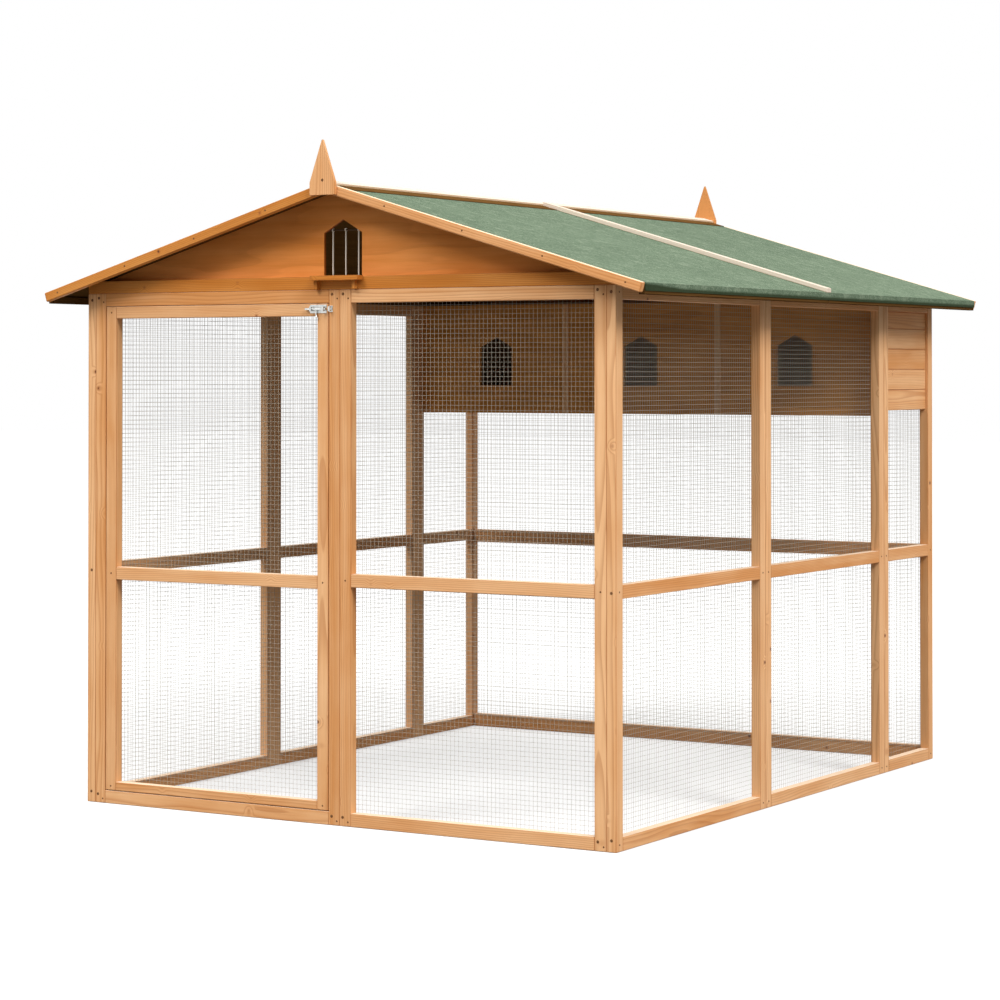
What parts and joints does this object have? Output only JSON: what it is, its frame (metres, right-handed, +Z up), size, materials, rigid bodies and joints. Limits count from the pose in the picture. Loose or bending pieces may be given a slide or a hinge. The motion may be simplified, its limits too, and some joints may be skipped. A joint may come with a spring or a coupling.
{
  "type": "pigeon loft",
  "caption": "Walk-in timber pigeon loft with welded-mesh walls, felt gable roof, hinged door, nest boxes at the rear and a gable entrance with bob wires.",
  "frame": {"origin": "on the ground under the middle of the roof, midway across the walls", "axes": "+Z up, +Y from the door's wall to the nest boxes, +X to the right of someone facing the door"},
  "size_m": [1.94, 2.272, 1.85],
  "materials": {
    "stained_pine": "stained and satin",
    "stained_plywood": "stained and satin",
    "nest_boarding": "brown stain, matt",
    "roof_deck": "stained, matt",
    "roofing_felt": "green mineral granules",
    "galvanised_wire": "galvanised",
    "zinc_hardware": "bright zinc",
    "nail_steel": "dull, sunk heads"
  },
  "bodies": {
    "loft": {"door_surround": "stained_pine", "front_panel_frame": "stained_pine", "right_side_frame_front": "stained_pine", "right_side_frame_middle": "stained_pine", "right_side_frame_rear": "stained_pine", "left_side_frame_front": "stained_pine", "left_side_frame_middle": "stained_pine", "left_side_frame_rear": "stained_pine", "rear_bottom_rail": "stained_pine", "rear_mid_rail": "stained_pine", "rear_top_rail": "stained_pine", "right_nest_siding": "stained_pine", "left_nest_siding": "stained_pine", "rear_siding": "stained_pine", "front_tie_board": "stained_pine", "rear_tie_board": "stained_pine", "landing_shelf": "stained_pine", "right_barge_board_front": "stained_pine", "right_barge_board_rear": "stained_pine", "left_barge_board_front": "stained_pine", "left_barge_board_rear": "stained_pine", "right_seam_batten": "stained_pine", "left_seam_batten": "stained_pine", "ridge_board_front": "stained_pine", "ridge_board_rear": "stained_pine", "finial_front": "stained_pine", "finial_rear": "stained_pine", "front_gable_board": "stained_plywood", "rear_gable_board": "stained_plywood", "nest_box_front": "nest_boarding", "nest_box_floor": "nest_boarding", "nest_box_lid": "nest_boarding", "nest_box_divider_right": "nest_boarding", "nest_box_divider_left": "nest_boarding", "right_roof_panel_front": "roof_deck", "right_roof_panel_rear": "roof_deck", "left_roof_panel_front": "roof_deck", "left_roof_panel_rear": "roof_deck", "front_panel_mesh": "galvanised_wire", "right_side_mesh_front": "galvanised_wire", "right_side_mesh_middle": "galvanised_wire", "right_side_mesh_rear": "galvanised_wire", "left_side_mesh_front": "galvanised_wire", "left_side_mesh_middle": "galvanised_wire", "left_side_mesh_rear": "galvanised_wire", "rear_mesh": "galvanised_wire", "bob_rod": "galvanised_wire", "lower_hinge_frame_leaf": "zinc_hardware", "upper_hinge_frame_leaf": "zinc_hardware", "barrel_bolt_keep": "zinc_hardware"},
    "door": {"door_frame": "stained_pine", "door_mesh": "galvanised_wire", "lower_hinge_door_leaf": "zinc_hardware", "upper_hinge_door_leaf": "zinc_hardware", "barrel_bolt_body": "zinc_hardware"},
    "bolt": {"barrel_bolt_rod": "zinc_hardware"},
    "bob_wire_1": {"bob_wire_1": "galvanised_wire"},
    "bob_wire_2": {"bob_wire_2": "galvanised_wire"},
    "bob_wire_3": {"bob_wire_3": "galvanised_wire"}
  },
  "joints": [
    {"name": "door_hinge", "type": "hinge", "parent": "loft", "child": "door", "pos_m": [-0.795, -1.0305, 0.72], "axis": [0, 0, 1], "range_deg": [0, 90]},
    {"name": "bolt_slide", "type": "slide", "parent": "door", "child": "bolt", "axis": [1, 0, 0], "range_m": [0, 0.017]},
    {"name": "bob_wire_1_swing", "type": "hinge", "parent": "loft", "child": "bob_wire_1", "pos_m": [-0.042, -1.0205, 1.612], "axis": [1, 0, 0], "range_deg": [0, 80]},
    {"name": "bob_wire_2_swing", "type": "hinge", "parent": "loft", "child": "bob_wire_2", "pos_m": [0, -1.0205, 1.612], "axis": [1, 0, 0], "range_deg": [0, 80]},
    {"name": "bob_wire_3_swing", "type": "hinge", "parent": "loft", "child": "bob_wire_3", "pos_m": [0.042, -1.0205, 1.612], "axis": [1, 0, 0], "range_deg": [0, 80]}
  ]
}
